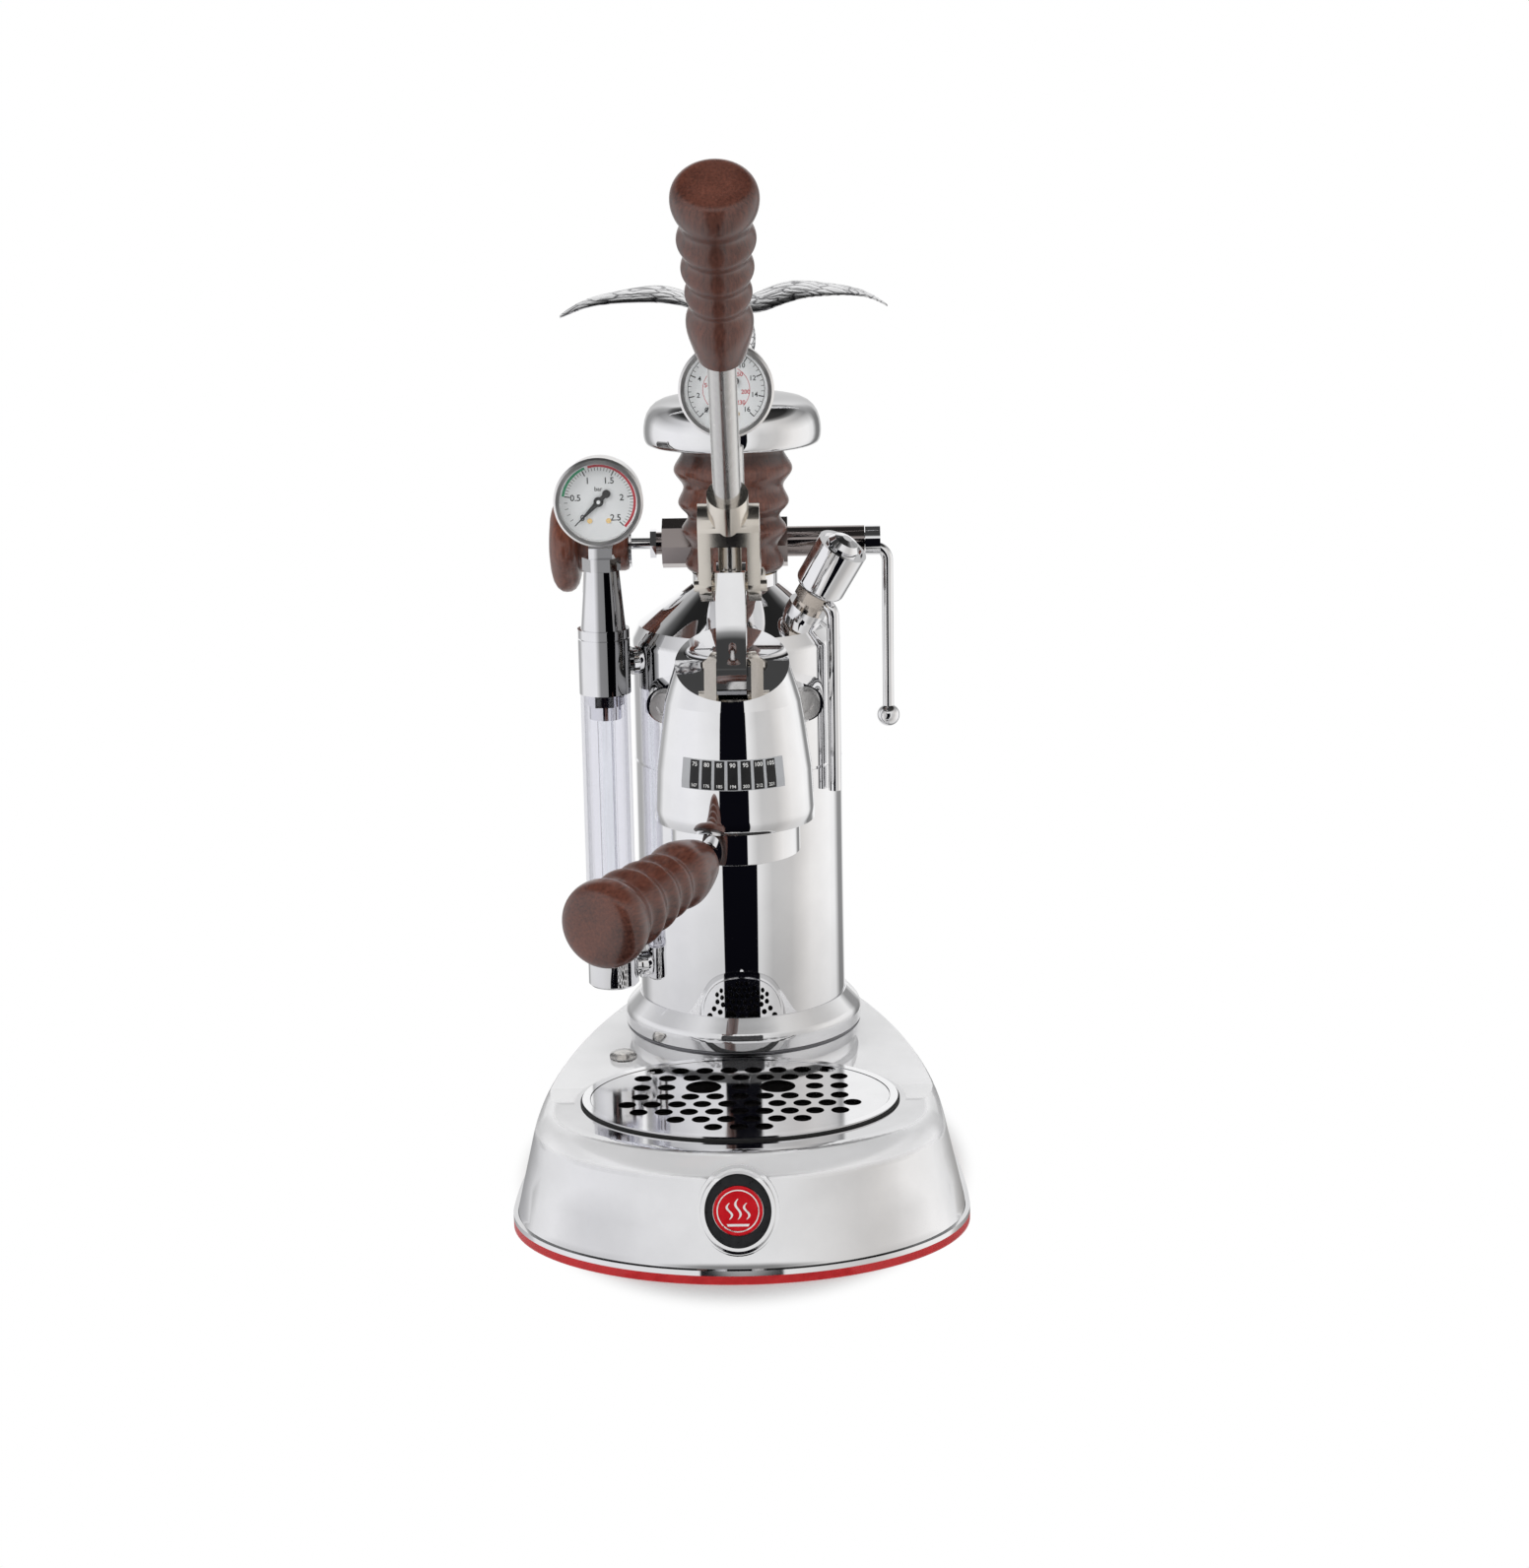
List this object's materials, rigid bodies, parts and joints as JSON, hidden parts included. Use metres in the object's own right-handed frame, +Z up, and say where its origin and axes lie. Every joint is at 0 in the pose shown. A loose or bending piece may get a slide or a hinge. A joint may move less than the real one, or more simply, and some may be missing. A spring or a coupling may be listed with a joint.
{
  "type": "lever espresso machine",
  "caption": "Hand-lever espresso machine with a chromed boiler, wooden handles, sight column, dial gauges, steam wand and an oval drip tray in its base.",
  "frame": {"origin": "on the boiler's axis, in the plane of the table", "axes": "+Z up along the boiler, -Y to the front where the user stands, +X to the side of the steam wand"},
  "size_m": [0.2, 0.3396, 0.4612],
  "materials": {
    "red_plate": "satin",
    "black_rubber": "matt",
    "chrome": "mirror",
    "badge_red": "gloss",
    "lamp_amber": "clear gloss",
    "black_plastic": "satin",
    "grid_steel": "polished",
    "steel": "brushed",
    "nickel": "satin",
    "brass": "turned",
    "dark_wood": "satin",
    "neck_wood": "satin",
    "clear_glass": "clear",
    "dial_white": "printed",
    "needle_black": "matt",
    "strip_grey": "printed"
  },
  "bodies": {
    "stand": {"rubber_feet": "black_rubber", "base_plate": "red_plate", "base_shell": "chrome", "tray_gasket": "black_rubber", "badge_bezel": "chrome", "badge_disc": "badge_red", "pilot_lamp": "lamp_amber", "switch_housing": "black_plastic", "cord_gland": "black_plastic", "boiler_lower": "chrome", "boiler_upper": "chrome", "boiler_ring": "chrome", "heating_element": "steel", "relief_body": "chrome", "relief_cap": "chrome", "relief_spring": "steel", "discharge_tube": "chrome", "column_head": "chrome", "sight_glass": "clear_glass", "glass_guard": "clear_glass", "glass_nuts": "chrome", "column_foot": "chrome", "boiler_gauge_case": "chrome", "boiler_gauge_dial": "dial_white", "boiler_gauge_lens": "clear_glass", "steam_valve_body": "chrome", "packing_nut": "chrome", "group_body": "chrome", "group_bolts": "chrome", "piston_sleeve": "black_plastic", "shower_screen": "steel", "portafilter_gasket": "black_rubber", "temperature_strip": "strip_grey"},
    "boiler_gauge_pointer": {"boiler_gauge_needle": "needle_black"},
    "relief_valve_ball": {"relief_ball": "steel"},
    "power_switch": {"power_rocker": "black_plastic"},
    "boiler_cap": {"cap_plug": "brass", "wood_neck": "neck_wood", "chrome_cap": "chrome", "bird_finial": "chrome"},
    "steam_control": {"steam_stem": "chrome", "steam_knob": "dark_wood"},
    "steam_tube": {"steam_wand": "chrome"},
    "lever": {"lever_fork": "nickel", "lever_rod": "steel", "lever_handle": "dark_wood", "fulcrum_pin": "steel"},
    "plunger": {"piston": "brass", "piston_seals": "black_rubber", "piston_rod": "steel", "piston_pin": "steel", "piston_gauge_case": "chrome", "piston_gauge_dial": "dial_white", "piston_gauge_lens": "clear_glass"},
    "piston_gauge_pointer": {"piston_gauge_needle": "needle_black"},
    "basket": {"portafilter_basket": "steel"},
    "portafilter": {"portafilter_body": "chrome", "portafilter_handle": "dark_wood"},
    "tray": {"drip_tray": "chrome"},
    "grid": {"drip_grid": "grid_steel"}
  },
  "joints": [
    {"name": "lever_hinge", "type": "hinge", "parent": "stand", "child": "lever", "pos_m": [0, -0.074, 0.2769], "axis": [1, 0, 0], "range_deg": [0, 60]},
    {"name": "piston_slide", "type": "slide", "parent": "stand", "child": "plunger", "axis": [0, 0, 1], "range_m": [-0.0211, 0]},
    {"name": "boiler_pointer_hinge", "type": "hinge", "parent": "stand", "child": "boiler_gauge_pointer", "pos_m": [-0.0594, -0.0295, 0.3032], "axis": [0, 1, 0], "range_deg": [0, 270], "stiffness_Nm_per_rad": 0.0005},
    {"name": "piston_pointer_hinge", "type": "hinge", "parent": "plunger", "child": "piston_gauge_pointer", "pos_m": [0, -0.103, 0.361], "axis": [0, 1, 0], "range_deg": [0, 270], "stiffness_Nm_per_rad": 0.0005},
    {"name": "relief_ball_slide", "type": "slide", "parent": "stand", "child": "relief_valve_ball", "axis": [0.4644, -0.2846, 0.8387], "range_m": [0, 0.001], "stiffness_N_per_m": 400},
    {"name": "power_rocker_hinge", "type": "hinge", "parent": "stand", "child": "power_switch", "pos_m": [-0.02426, 0.08244, 0.024], "axis": [0.9187, 0.3949, 0], "range_deg": [-5, 5]},
    {"name": "cap_lift", "type": "slide", "parent": "stand", "child": "boiler_cap", "axis": [0, 0, 1], "range_m": [0, 0.06]},
    {"name": "steam_knob_hinge", "type": "hinge", "parent": "stand", "child": "steam_control", "pos_m": [0, 0.036, 0.2735], "axis": [1, 0, 0], "range_deg": [0, 300]},
    {"name": "steam_wand_hinge", "type": "hinge", "parent": "stand", "child": "steam_tube", "pos_m": [0.06, 0.036, 0.2735], "axis": [1, 0, 0], "range_deg": [-20, 35]},
    {"name": "basket_drop", "type": "slide", "parent": "stand", "child": "basket", "axis": [0, 0, 1], "range_m": [-0.045, 0]},
    {"name": "portafilter_turn", "type": "hinge", "parent": "basket", "child": "portafilter", "pos_m": [0, -0.092, 0.17], "axis": [0, 0, 1], "range_deg": [0, 40]},
    {"name": "tray_lift", "type": "slide", "parent": "stand", "child": "tray", "axis": [0, 0, 1], "range_m": [0, 0.06]},
    {"name": "grid_lift", "type": "slide", "parent": "tray", "child": "grid", "axis": [0, 0, 1], "range_m": [0, 0.03]}
  ],
  "couplings": [
    {"joint": "piston_slide", "follows": "lever_hinge", "m_per_rad": -0.02005}
  ]
}
